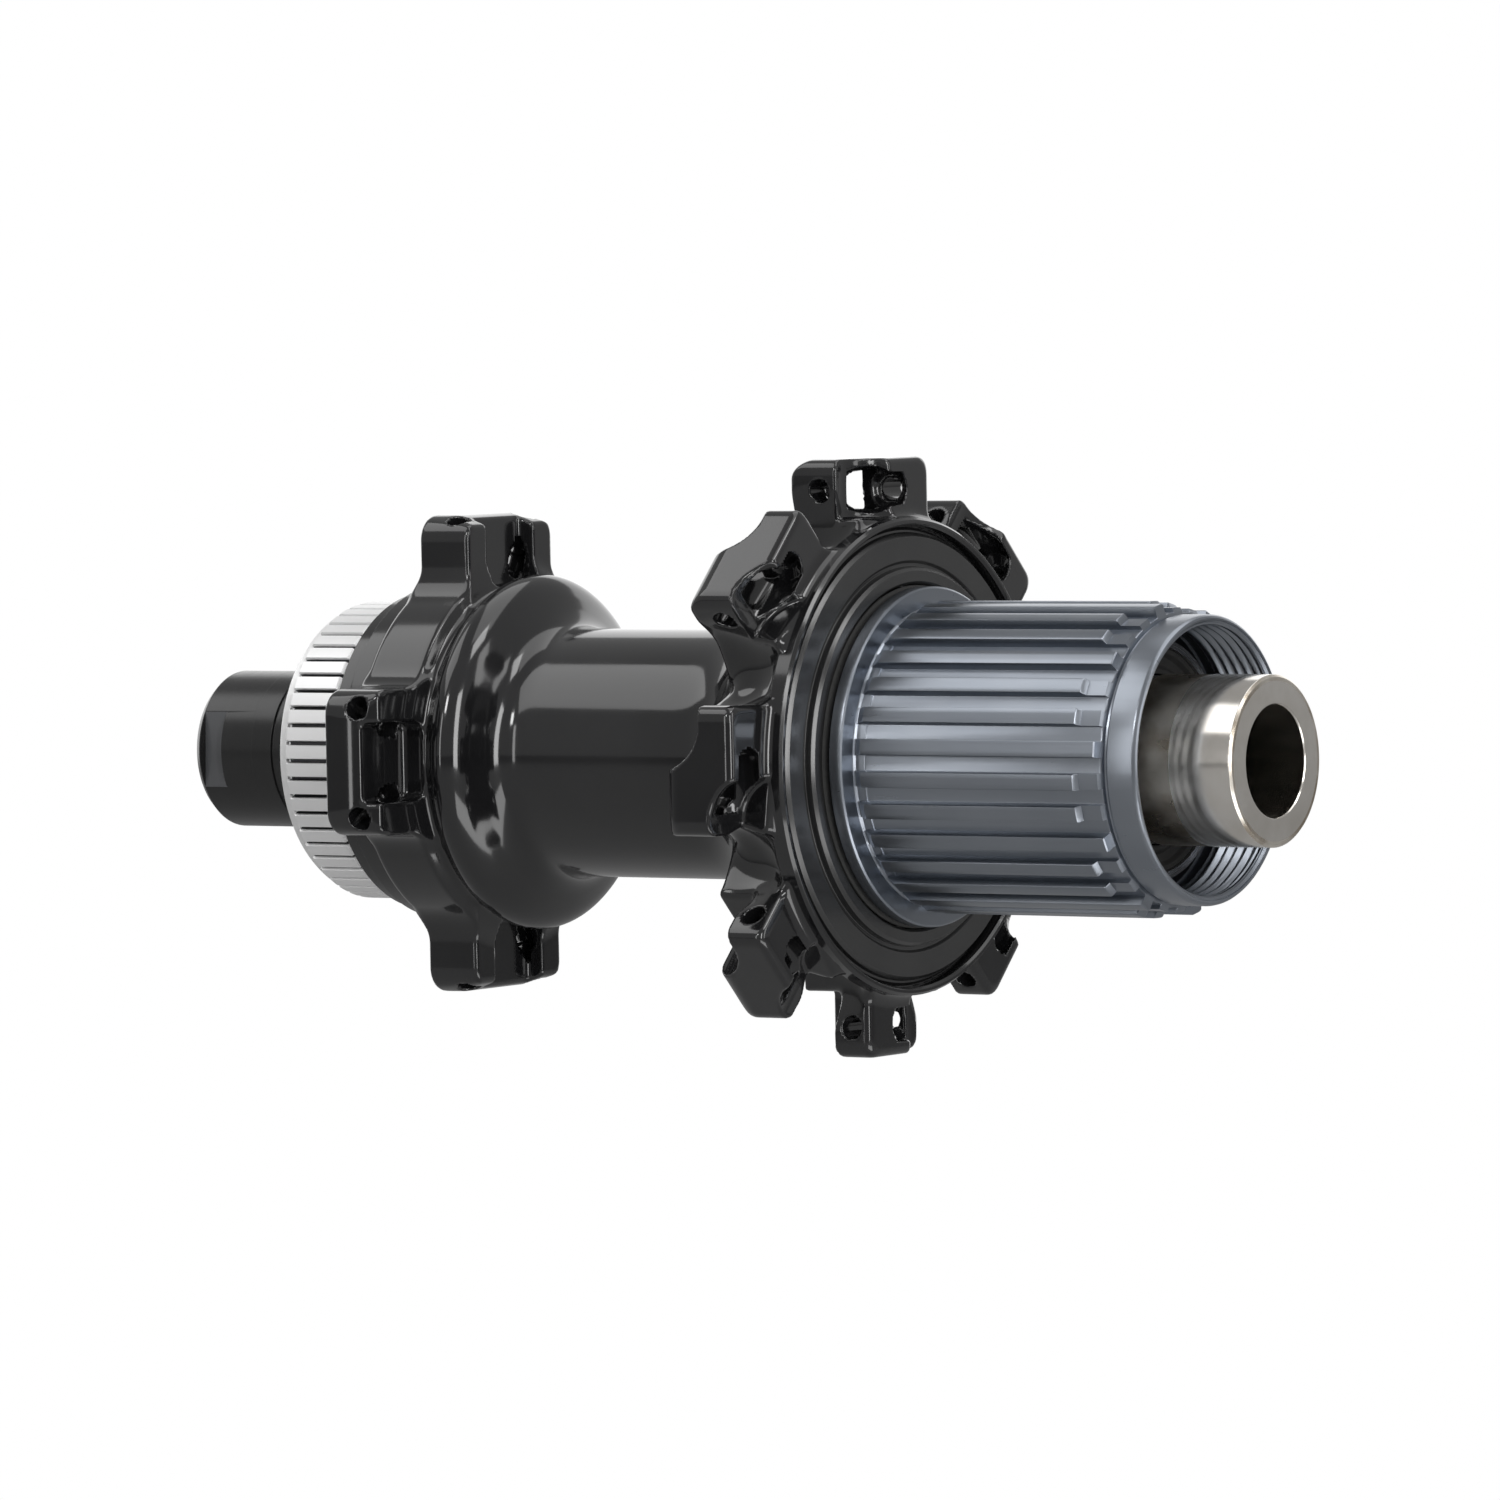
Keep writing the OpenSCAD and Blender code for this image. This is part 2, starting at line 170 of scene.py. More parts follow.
def cut_away(ob, cutters):
    """Cuts ob with box-like cutters and keeps the result in its own mesh."""
    for c in cutters:
        m = ob.modifiers.new("cut", "BOOLEAN")
        m.operation = "DIFFERENCE"
        m.solver = "EXACT"
        m.object = c
    dg = bpy.context.evaluated_depsgraph_get()
    me = bpy.data.meshes.new_from_object(ob.evaluated_get(dg))
    ob.modifiers.clear()
    old = ob.data
    ob.data = me
    bpy.data.meshes.remove(old)
    for c in cutters:
        bpy.data.objects.remove(c)


def block(lo, hi):
    """A plain cutter, in mm."""
    x0, y0, z0 = lo
    x1, y1, z1 = hi
    v = [(x, y, z) for x in (x0, x1) for y in (y0, y1) for z in (z0, z1)]
    f = [(0, 1, 3, 2), (4, 6, 7, 5), (0, 4, 5, 1), (2, 3, 7, 6), (0, 2, 6, 4), (1, 5, 7, 3)]
    me = bpy.data.meshes.new("cutter")
    me.from_pydata([tuple(c * 0.001 for c in p) for p in v], [], f)
    ob = bpy.data.objects.new("cutter", me)
    bpy.context.scene.collection.objects.link(ob)
    return ob


# ------------------------------------------------------------------ materials
class Nodes:
    """A material's node tree; self.b is its Principled shader."""

    def __init__(self, name):
        self.mat = bpy.data.materials.new(name)
        self.mat.use_nodes = True
        self.t = self.mat.node_tree
        self.t.nodes.clear()
        self.out = self.n("ShaderNodeOutputMaterial")
        self.b = self.n("ShaderNodeBsdfPrincipled")
        self.link(self.b.outputs[0], self.out.inputs[0])
        self.coord = self.n("ShaderNodeTexCoord").outputs["Object"]
        sep = self.n("ShaderNodeSeparateXYZ")
        self.link(self.coord, sep.inputs[0])
        self.x, self.y, self.z = sep.outputs

    def n(self, kind, **kw):
        node = self.t.nodes.new(kind)
        for k, v in kw.items():
            setattr(node, k, v)
        return node

    def link(self, a, b):
        self.t.links.new(a, b)

    def math(self, op, a, b=None):
        m = self.n("ShaderNodeMath", operation=op)
        for i, v in enumerate((a, b)):
            if v is None:
                continue
            if isinstance(v, (int, float)):
                m.inputs[i].default_value = v
            else:
                self.link(v, m.inputs[i])
        return m.outputs[0]

    def radius(self):
        xx = self.math("MULTIPLY", self.x, self.x)
        zz = self.math("MULTIPLY", self.z, self.z)
        return self.math("SQRT", self.math("ADD", xx, zz))

    def vec(self, x, y, z):
        c = self.n("ShaderNodeCombineXYZ")
        for i, v in enumerate((x, y, z)):
            if isinstance(v, (int, float)):
                c.inputs[i].default_value = v
            else:
                self.link(v, c.inputs[i])
        return c.outputs[0]

    def noise(self, vec, scale, detail=3.0, rough=0.55):
        t = self.n("ShaderNodeTexNoise")
        t.inputs["Scale"].default_value = scale
        t.inputs["Detail"].default_value = detail
        t.inputs["Roughness"].default_value = rough
        self.link(vec, t.inputs["Vector"])
        return t.outputs[0]

    def span(self, v, lo, hi, a=0.0, b=1.0):
        m = self.n("ShaderNodeMapRange")
        for i, x in enumerate((v, lo, hi, a, b)):
            if isinstance(x, (int, float)):
                m.inputs[i].default_value = x
            else:
                self.link(x, m.inputs[i])
        return m.outputs[0]

    def mix(self, f, a, b):
        m = self.n("ShaderNodeMix", data_type="RGBA")
        for i, v in ((0, f), (6, a), (7, b)):
            if isinstance(v, (int, float)):
                m.inputs[i].default_value = v
            elif isinstance(v, tuple):
                m.inputs[i].default_value = (*v, 1)
            else:
                self.link(v, m.inputs[i])
        return m.outputs[2]

    def bump(self, h, strength, dist):
        b = self.n("ShaderNodeBump")
        b.inputs["Strength"].default_value = strength
        b.inputs["Distance"].default_value = dist
        self.link(h, b.inputs["Height"])
        self.link(b.outputs[0], self.b.inputs["Normal"])

    def color(self, v):
        if isinstance(v, tuple):
            self.b.inputs["Base Color"].default_value = (*v, 1)
        else:
            self.link(v, self.b.inputs["Base Color"])

    def set(self, **kw):
        for k, v in kw.items():
            s = self.b.inputs[k.replace("_", " ")]
            if isinstance(v, (int, float)):
                s.default_value = v
            else:
                self.link(v, s)
        return self


def turned_lines(g, scale=2600.0):
    """Fine rings left by turning: they change along the axle and the radius only."""
    return g.noise(g.vec(g.radius(), g.y, 0.0), scale, 4.0, 0.7)


def mat_gloss_black():
    g = Nodes("gloss_black")
    cloud = g.noise(g.coord, 55.0, 3.0)
    fine = g.noise(g.coord, 2400.0, 2.0)
    base = g.mix(g.span(cloud, 0.35, 0.7), (0.0075, 0.0075, 0.0082), (0.0125, 0.0125, 0.0132))
    g.color(base)
    g.set(Metallic=0.0, Roughness=g.span(cloud, 0.3, 0.75, 0.08, 0.15))
    g.b.inputs["IOR"].default_value = 1.6
    g.b.inputs["Coat Weight"].default_value = 0.25
    g.b.inputs["Coat Roughness"].default_value = 0.04
    g.bump(fine, 0.03, 0.00004)
    return g.mat


def mat_satin_black(name="satin_black", tone=0.014, rough=(0.30, 0.42), turned=True, bump=0.08,
                    ior=1.55):
    g = Nodes(name)
    base = turned_lines(g) if turned else g.noise(g.coord, 1500.0, 4.0)
    cloud = g.noise(g.coord, 90.0, 3.0)
    g.color(g.mix(g.span(cloud, 0.3, 0.7), (tone, tone, tone * 1.04), (tone * 1.7,) * 3))
    g.set(Metallic=0.0, Roughness=g.span(base, 0.25, 0.75, *rough))
    g.b.inputs["IOR"].default_value = ior
    g.bump(base, bump, 0.00003)
    return g.mat


def mat_metal(name, color, rough, tint=(1.0, 1.0, 1.0), lines=0.12, scale=2600.0, dark=0.8, metal=1.0):
    g = Nodes(name)
    ring = turned_lines(g, scale)
    cloud = g.noise(g.coord, 70.0, 4.0)
    deep = tuple(c * dark * t for c, t in zip(color, tint))
    g.color(g.mix(g.span(cloud, 0.3, 0.7), deep, color))
    g.set(Metallic=metal, Roughness=g.span(ring, 0.25, 0.75, rough[0], rough[1]))
    g.bump(ring, lines, 0.00003)
    return g.mat


def mat_cap():
    """Black anodised end cap, with a painted reflection: the two flats for the spanner are coloured
    greyer.
    """
    g = Nodes("cap_black")
    ring = turned_lines(g)
    cloud = g.noise(g.coord, 90.0, 3.0)
    black = g.mix(g.span(cloud, 0.3, 0.7), (0.008, 0.008, 0.0083), (0.0136, 0.0136, 0.0136))
    # painted reflection: the two spanner flats are coloured grey to stand in for the light they reflect
    depth = g.math("ABSOLUTE", g.x)
    painted_sheen_flats = g.math("MULTIPLY", g.math("LESS_THAN", depth, 0.00802), g.math("GREATER_THAN", depth, 0.00798))
    painted_sheen_flats = g.math("MULTIPLY", painted_sheen_flats, g.math("GREATER_THAN", g.y, 0.0667))
    g.color(g.mix(painted_sheen_flats, black, (0.085, 0.087, 0.092)))
    g.set(Metallic=0.0, Roughness=g.span(ring, 0.25, 0.75, 0.22, 0.28))
    g.b.inputs["IOR"].default_value = 1.55
    g.bump(ring, 0.05, 0.00003)
    return g.mat


def mat_bright():
    """Machined aluminium: bright lands, with painted shade down in the grooves between them."""
    g = Nodes("machined_bright")
    ring = turned_lines(g)
    cloud = g.noise(g.coord, 70.0, 4.0)
    land = g.mix(g.span(cloud, 0.3, 0.7), (0.90, 0.90, 0.90), (0.95, 0.95, 0.95))
    # painted shade: the groove floors between the lands are coloured dark to stand in for the shadow down
    # in them
    floor = g.math("MULTIPLY", g.math("LESS_THAN", g.radius(), 0.01685),
                   g.math("GREATER_THAN", g.radius(), 0.0161))
    side = g.math("LESS_THAN", g.y, 0.0514)
    g.color(g.mix(g.math("MULTIPLY", floor, side), land, (0.10, 0.10, 0.105)))
    g.set(Metallic=0.72, Roughness=g.span(ring, 0.25, 0.75, 0.42, 0.52))
    g.bump(ring, 0.03, 0.00003)
    return g.mat


def mat_axle():
    """Polished nickel steel, turned coarser, with a brown reflection painted into the colour of the neck
    behind the end.
    """
    g = Nodes("axle_steel")
    ring = turned_lines(g, 1500.0)
    cloud = g.noise(g.vec(g.x, g.math("MULTIPLY", g.y, 0.7), g.z), 190.0, 3.0)
    neck = g.math("LESS_THAN", g.radius(), 0.00947)
    tone = g.mix(g.span(cloud, 0.3, 0.7), (0.70, 0.665, 0.61), (0.84, 0.81, 0.765))
    # painted reflection: the neck band is coloured brown to stand in for what it reflects; it is also
    # made rougher
    painted_reflection_brown = g.mix(g.span(cloud, 0.38, 0.62), (0.43, 0.36, 0.28), (0.80, 0.755, 0.68))
    painted_neck_band = g.math("MULTIPLY", neck, g.math("GREATER_THAN", g.radius(), 0.0088))
    g.color(g.mix(painted_neck_band, tone, painted_reflection_brown))
    rough = g.span(cloud, 0.3, 0.7, 0.13, 0.19)
    g.set(Metallic=1.0, Roughness=g.math("ADD", rough, g.math("MULTIPLY", painted_neck_band, 0.12)))
    g.bump(ring, 0.01, 0.00002)
    return g.mat


def mat_freehub():
    g = Nodes("blue_grey_anodised")
    ring = g.noise(g.vec(g.x, g.math("MULTIPLY", g.y, 0.06), g.z), 1500.0, 4.0, 0.65)
    fine = g.noise(g.coord, 3200.0, 3.0)
    cloud = g.noise(g.coord, 60.0, 3.0)
    g.color(g.mix(g.span(cloud, 0.3, 0.7), (0.255, 0.278, 0.315), (0.30, 0.322, 0.358)))
    g.set(Metallic=1.0, Roughness=g.span(ring, 0.25, 0.75, 0.27, 0.32))
    g.bump(g.math("ADD", ring, fine), 0.05, 0.00002)
    return g.mat


def mat_rubber():
    g = Nodes("seal_rubber")
    fine = g.noise(g.coord, 1800.0, 4.0)
    g.color(g.mix(g.span(fine, 0.3, 0.7), (0.012, 0.012, 0.012), (0.024, 0.024, 0.023)))
    g.set(Metallic=0.0, Roughness=g.span(fine, 0.2, 0.8, 0.55, 0.75))
    g.bump(fine, 0.25, 0.00004)
    return g.mat


GLOSS = mat_gloss_black()
SATIN = mat_satin_black()
COVER = mat_satin_black("cover_black", 0.012, (0.20, 0.28), bump=0.03, ior=1.72)
CAP = mat_cap()
BRIGHT = mat_bright()
AXLE = mat_axle()
STEEL = mat_metal("bearing_steel", (0.52, 0.52, 0.53), (0.20, 0.34))
BALL = mat_metal("ball_steel", (0.82, 0.82, 0.84), (0.04, 0.08), lines=0.01)
SPRING = mat_metal("spring_steel", (0.40, 0.40, 0.42), (0.25, 0.40))
FREEHUB = mat_freehub()
RUBBER = mat_rubber()
SLEEVE = mat_satin_black("sleeve_plastic", 0.03, (0.5, 0.65), turned=False)

CAD_MATERIAL = {
    "left_bearing_cup": STEEL, "grease_sleeve": SLEEVE, "freehub_inner_body": STEEL,
    "freehub_fixing_bolt": STEEL, "pawl_spring": SPRING, "ratchet_ring": STEEL,
    "left_hub_balls": BALL, "left_ball_retainer": SPRING, "right_hub_balls": BALL,
    "right_ball_retainer": SPRING, "freehub_outer_balls": BALL, "freehub_inner_balls": BALL,
    "pawl_upper": STEEL, "pawl_lower": STEEL, "right_bearing_cup": STEEL,
    "left_cone": STEEL, "right_cone": STEEL,
}
for node, mat in CAD_MATERIAL.items():
    data = NODES[node].data
    if data.materials:
        for i in range(len(data.materials)):
            data.materials[i] = mat
    else:
        data.materials.append(mat)

# ------------------------------------------------------------------ the shell, as one blended solid
def eased(points, times=3):
    """Corners cut again and again, for a curve without flats."""
    for _ in range(times):
        out = [points[0]]
        for (a, b), (c, d) in zip(points, points[1:]):
            out.append((a * 0.75 + c * 0.25, b * 0.75 + d * 0.25))
            out.append((a * 0.25 + c * 0.75, b * 0.25 + d * 0.75))
        points = out + [points[-1]]
    return points


OUTER = [
    (0, -39.3), (19.0, -39.3), (19.7, -39.1), (20.2, -38.8), (20.5, -38.3), (20.5, -31.4),
    (19.2, -30.7),
]
OUTER += eased([
    (18.95, -30.1), (19.15, -29.6), (19.8, -29.0), (20.25, -28.3), (20.4, -27.6),
    (20.3, -26.9), (19.95, -26.2), (19.3, -25.5), (18.4, -24.9), (17.2, -24.3), (16.0, -23.7),
    (15.1, -23.0), (14.5, -22.2), (14.2, -21.0), (14.2, -18.0),
])
OUTER += eased([
    (14.2, -1.5), (14.2, 1.5), (14.32, 3.2), (14.75, 5.0),
    (15.6, 6.9), (16.9, 8.8), (18.6, 10.5), (20.6, 12.0), (22.5, 13.4), (23.9, 15.0),
    (24.8, 17.2), (25.2, 19.6),
])
OUTER += [(25.9, 20.9), (26.6, 21.5), (26.6, 23.0), (0, 23.0)]
INNER = [
    (0, -50), (14.5, -50), (14.5, -46.8), (13.42, -46.8), (13.42, -38), (12.2, -38), (12.2, 6),
    (8.95, 6), (8.95, 15), (11.02, 15), (11.02, 22), (25.9, 22), (25.9, 26), (0, 26),
]


def profile_table(points, blur):
    """Signed distance to a closed outline, on a fine (r, s) grid."""
    step, r1, s0, s1 = 0.1, 40.0, -52.0, 30.0
    rs = np.arange(0, r1 + step, step)
    ss = np.arange(s0, s1 + step, step)
    R, S = np.meshgrid(rs, ss, indexing="ij")
    best = np.full(R.shape, 1e9)
    inside = np.zeros(R.shape, bool)
    n = len(points)
    for i in range(n):
        ax, ay = points[i]
        bx, by = points[(i + 1) % n]
        dx, dy = bx - ax, by - ay
        cross = (ay > S) != (by > S)
        with np.errstate(divide="ignore", invalid="ignore"):
            xi = dx * (S - ay) / dy + ax if dy else np.zeros_like(S)
        inside ^= cross & (R < xi)
        if ax == 0 and bx == 0:
            continue  # the axis itself is no wall
        t = np.clip(((R - ax) * dx + (S - ay) * dy) / (dx * dx + dy * dy), 0, 1)
        best = np.minimum(best, np.hypot(R - ax - t * dx, S - ay - t * dy))
    d = np.where(inside, -best, best)
    if blur > 0:
        k = int(blur / step * 3)
        w = np.exp(-0.5 * (np.arange(-k, k + 1) * step / blur) ** 2)
        w /= w.sum()
        full = np.concatenate([d[k:0:-1], d], axis=0)  # mirrored over the axis
        full = np.pad(full, ((0, k), (k, k)), mode="edge")
        full = sum(w[i] * full[i:i + d.shape[0]] for i in range(2 * k + 1))
        d = sum(w[i] * full[:, i:i + d.shape[1]] for i in range(2 * k + 1))
    return d.astype(np.float32), step, s0


TABLE_OUT = profile_table(OUTER, 0.18)
TABLE_IN = profile_table(INNER, 0.0)


def look_up(table, r, s):
    d, step, s0 = table
    x = np.clip(r / step, 0, d.shape[0] - 1.001)
    y = np.clip((s - s0) / step, 0, d.shape[1] - 1.001)
    i, j = x.astype(np.int32), y.astype(np.int32)
    fx, fy = (x - i), (y - j)
    return (
        d[i, j] * (1 - fx) * (1 - fy) + d[i + 1, j] * fx * (1 - fy)
        + d[i, j + 1] * (1 - fx) * fy + d[i + 1, j + 1] * fx * fy
    )


def smin(a, b, k):
    h = np.maximum(k - np.abs(a - b), 0) / k
    return np.minimum(a, b) - h * h * k * 0.25


def smax(a, b, k):
    return -smin(-a, -b, k)


def folded(X, Z, count):
    """Local (u, w) of the nearest of `count` lugs; w points out through the lug."""
    th = np.arctan2(X, Z) - LUG_TURN
    step = 2 * math.pi / count
    th = th - step * np.round(th / step)
    r = np.hypot(X, Z)
    return r * np.sin(th), r * np.cos(th)


def along(u, s, w, p, d):
    """Distance from a line and the place along it; p and d are (u, s, w)."""
    qu, qs, qw = u - p[0], s - p[1], w - p[2]
    t = qu * d[0] + qs * d[1] + qw * d[2]
    return np.sqrt(np.maximum((qu - t * d[0]) ** 2 + (qs - t * d[1]) ** 2 + (qw - t * d[2]) ** 2, 0)), t


def round_corner(a, b, r):
    """Distance from a corner of radius r; a and b are measured from the centre of its arc."""
    return np.hypot(np.maximum(a, 0), np.maximum(b, 0)) + np.minimum(np.maximum(a, b), 0) - r


def drive_side(body, X, s, Z):
    u, w = folded(X, Z, DRIVE_LUGS)
    lug = smax(np.abs(u) - LUG_HALF, w - LUG_TOP, 1.7)
    lug = smax(lug, smax(s - LUG_FACE, LUG_BACK - s, 0.5), 1.0)
    lug = smax(lug, (w - LUG_TOP + (RAKE_FROM - s) * RAKE) * RAKE_SCALE, 0.8)
    d = smin(body, np.maximum(lug, LUG_FOOT - w), 1.8)
    for (u0, s0, rad, floor, soft), edge in ((SCOOP_OUT, 0.35), (SCOOP_IN, 0.3)):
        d = smax(d, -smax(np.hypot(u - u0, s - s0) - rad, floor - w, soft), edge)
    # valleys pressed in between the lugs, half a lug's pitch round
    c, sn = math.cos(math.pi / DRIVE_LUGS), math.sin(math.pi / DRIVE_LUGS)
    v, wv = folded(X * c - Z * sn, X * sn + Z * c, DRIVE_LUGS)
    long, deep = (s - VALLEY_S) / VALLEY_LONG, (wv - VALLEY_W) / VALLEY_DEEP
    d = smax(d, VALLEY_R - np.sqrt(v ** 2 + long ** 2 + deep ** 2), 1.2)
    # spoke holes and the seats of the heads
    c, sn = math.cos(DRIVE_LEAN), math.sin(DRIVE_LEAN)
    for way, s0, t0, t1 in DRIVE_SPOKES:
        rad, t = along(u, s, w, (0.0, s0, DRIVE_SPOKE_W), (way * c, -sn, 0.0))
        seat_r = DRIVE_SEAT_R - np.maximum(t - t1 + 1, 0) * SEAT_TAPER
        d = smax(d, -np.maximum(rad - seat_r, np.maximum(t0 - t, t - t1)), 0.15)
        d = smax(d, -np.maximum(rad - HOLE_R, -t), 0.15)
    return d


def rotor_side(body, X, s, Z):
    u, w = folded(X, Z, ROTOR_LUGS)
    y = -s
    a, b = np.abs(u) - (PLATE_HALF - PLATE_ROUND), w - (PLATE_TOP - PLATE_ROUND)
    plate = round_corner(a, b, PLATE_ROUND)
    # the outer face slopes away over its inboard half
    plate = smax(plate, (w - PLATE_TOP + (SLOPE_FROM - y) * SLOPE) * SLOPE_SCALE, 0.4)
    plate = smax(plate, smax(y - PLATE_FAR, PLATE_NEAR - y, 0.5), 0.55)
    d = smin(body, np.maximum(plate, PLATE_FOOT - w), 2.6)
    a, b = np.abs(u) - (POCKET_HALF - POCKET_ROUND), -w + (POCKET_FLOOR + POCKET_ROUND)
    pocket = round_corner(a, b, POCKET_ROUND)
    pocket = smax(pocket, smax(y - POCKET_FAR, POCKET_NEAR - y, 0.5), 0.9)
    d = smax(d, -pocket, 0.4)
    for side in (1, -1):
        k = ROTOR_SPREAD * side
        way = (math.sin(k), math.cos(k) * math.sin(ROTOR_LEAN), math.cos(k) * math.cos(ROTOR_LEAN))
        rad, t = along(u, s, w, (side * ROTOR_SPOKE_U, ROTOR_SPOKE_S, ROTOR_SPOKE_W), way)
        # a flat pad square to the spoke, then its hole and the seat of its head
        d = smax(d, np.where(side * u > 0, t + PAD_DEPTH, -9.0), 0.25)
        d = smax(d, -np.maximum(rad - ROTOR_SEAT_R, np.maximum(-6.9 - t, t + 4.8)), 0.2)
        d = smax(d, -np.maximum(rad - HOLE_R, np.maximum(-8 - t, t - 6)), 0.15)
    return d


def shell_distance(X, Y, Z):
    s = -Y
    r = np.hypot(X, Z)
    d = look_up(TABLE_OUT, r, s)
    drive = s > 3.0
    if drive.any():
        d = d.copy()
        d[drive] = drive_side(d[drive], X[drive], s[drive], Z[drive])
    left = s < -24.0
    if left.any():
        d[left] = rotor_side(d[left], X[left], s[left], Z[left])
    return np.maximum(d, -look_up(TABLE_IN, r, s))


def slope(Q, e):
    """The gradient of the shell's distance, by differences of e mm each way."""
    g = np.empty_like(Q)
    for k in range(3):
        D = np.zeros(3)
        D[k] = e
        g[:, k] = (shell_distance(*(Q + D).T) - shell_distance(*(Q - D).T)) / (2 * e)
    return g


def build_shell():
    """Points, faces and normals of the shell, from its distance field."""
    lo = np.array([-34.8, -24.6, -34.8])
    hi = np.array([34.8, 40.4, 34.8])
    n = np.ceil((hi - lo) / VOXEL).astype(int)
    xs = lo[0] + VOXEL * np.arange(n[0])
    zs = lo[2] + VOXEL * np.arange(n[2])
    band = VOXEL * 3
    vol = np.full(tuple(n), band, np.float32)
    X, Z = np.meshgrid(xs, zs, indexing="ij")
    X, Z = X.astype(np.float32), Z.astype(np.float32)
    for j in range(n[1]):
        Y = np.full(X.shape, lo[1] + VOXEL * j, np.float32)
        vol[:, j, :] = shell_distance(X, Y, Z)
    grid = vdb.FloatGrid(band)
    grid.copyFromArray(np.clip(vol, -band, band), tolerance=1e-4)
    grid.gridClass = vdb.GridClass.LEVEL_SET
    pts, tris, quads = grid.convertToPolygons(isovalue=0.0, adaptivity=0.0)
    P = pts.astype(np.float64) * VOXEL + lo
    # every point settles on the exact surface, and the normals come from the field too
    for _ in range(2):
        g = slope(P, 0.02)
        steep = np.maximum((g * g).sum(1), 0.25)
        P -= g * np.clip(shell_distance(*P.T) / steep, -0.2, 0.2)[:, None]
    g = slope(P, 0.14)
    N = g / np.maximum(np.linalg.norm(g, axis=1), 1e-9)[:, None]
    faces = [tuple(q[::-1]) for q in quads] + [tuple(t[::-1]) for t in tris]
    # the faces look outwards
    i, j, k = faces[0][:3]
    if np.dot(np.cross(P[j] - P[i], P[k] - P[i]), N[i]) < 0:
        faces = [f[::-1] for f in faces]
    return P, faces, N


points, shell_faces, normals = build_shell()
shell = make("hub_shell_body", points, shell_faces, GLOSS, "shell", normals=normals)


# ------------------------------------------------------------------ rotor spline: bright teeth and thread
def rotor_ring():
    """Bright lands with square grooves between them, plain and threaded inside."""
    offs = [-3.46, -2.9, -2.78, -2.66, -2.45, -0.8, 0.8, 2.45, 2.66, 2.78, 2.9]
    inside = [
        (15.35, -53.0), (15.1, -52.9), (14.52, -52.3), (14.52, -44.9), (14.6, -44.5), (17.0, -44.45),
    ]
    thetas, rows = [], []
    for i in range(SPLINE_TEETH):
        for o in offs:
            a = abs(o)
            top = LAND_R if a < 2.5 else 17.1 if a < 2.7 else 16.7 if a < 2.8 else GROOVE_R
            outside = [
                (17.75, -44.45), (17.3, -44.75), (16.5, -45.05), (min(top, 16.9), -45.2),
                (top, -45.4), (top, -51.3), (min(top, 17.05), -51.45), (min(top, 16.6), -51.6),
                (16.55, -51.75), (16.5, -52.5), (16.2, -52.9), (15.9, -53.0),
            ]
            thetas.append(math.radians(360 / SPLINE_TEETH * i + o))
            rows.append(outside + inside)
    verts, faces = turned(rows, thetas, flip=True)
    return make("rotor_spline", verts, faces, BRIGHT, "shell", sharp=28)


def thread(name, r_minor, depth, s0, s1, pitch, mat, body, back, seg=160, per=10):
    """A thin threaded liner: a helical groove inside, plain behind."""
    count = int(round((s1 - s0) / pitch * per))
    thetas, rows = [], []
    for i in range(seg):
        row = []
        for k in range(count + 1):
            s = s0 + (s1 - s0) * k / count
            turn = (s / pitch - i / seg) % 1.0
            ramp = 1 - abs(2 * turn - 1)
            height = min(max((ramp - 0.12) / 0.76, 0), 1)
            fade = min(1.0, (s - s0) / (0.7 * pitch), (s1 - s) / (0.35 * pitch))
            row.append((r_minor + depth * height * max(fade, 0), s))
        thetas.append(2 * math.pi * i / seg)
        rows.append(row + [(back, s1), (back, s0)])
    verts, faces = turned(rows, thetas, flip=True)
    return make(name, verts, faces, mat, body, sharp=24)


shoulder = lathe(
    "shell_shoulder",
    [(13.5, -38.8), (19.6, -38.8), (19.6, -39.3), (19.25, -39.65), (19.25, -41.6),
     (18.85, -42.0), (18.3, -42.1), (18.3, -43.9), (17.85, -44.35), (16.6, -44.6), (13.5, -44.6)],
    GLOSS, "shell", 0.05, seg=224)
rim = lathe(
    "shell_rim",
    [(25.9, 22.1), (25.9, 23.5), (26.15, 23.8), (26.5, 23.8), (26.8, 23.45), (26.8, 21.75),
     (26.6, 21.45), (26.0, 21.3), (25.6, 21.3), (25.6, 22.1)],
    GLOSS, "shell", 0.07, seg=224)
spline = rotor_ring()
rotor_thread = thread("rotor_thread", 14.5, 0.42, -52.2, -47.0, 1.0, BRIGHT, "shell",
                      15.2)
for piece in (shell, shoulder, rim, spline, rotor_thread):
    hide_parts("hub_shell")

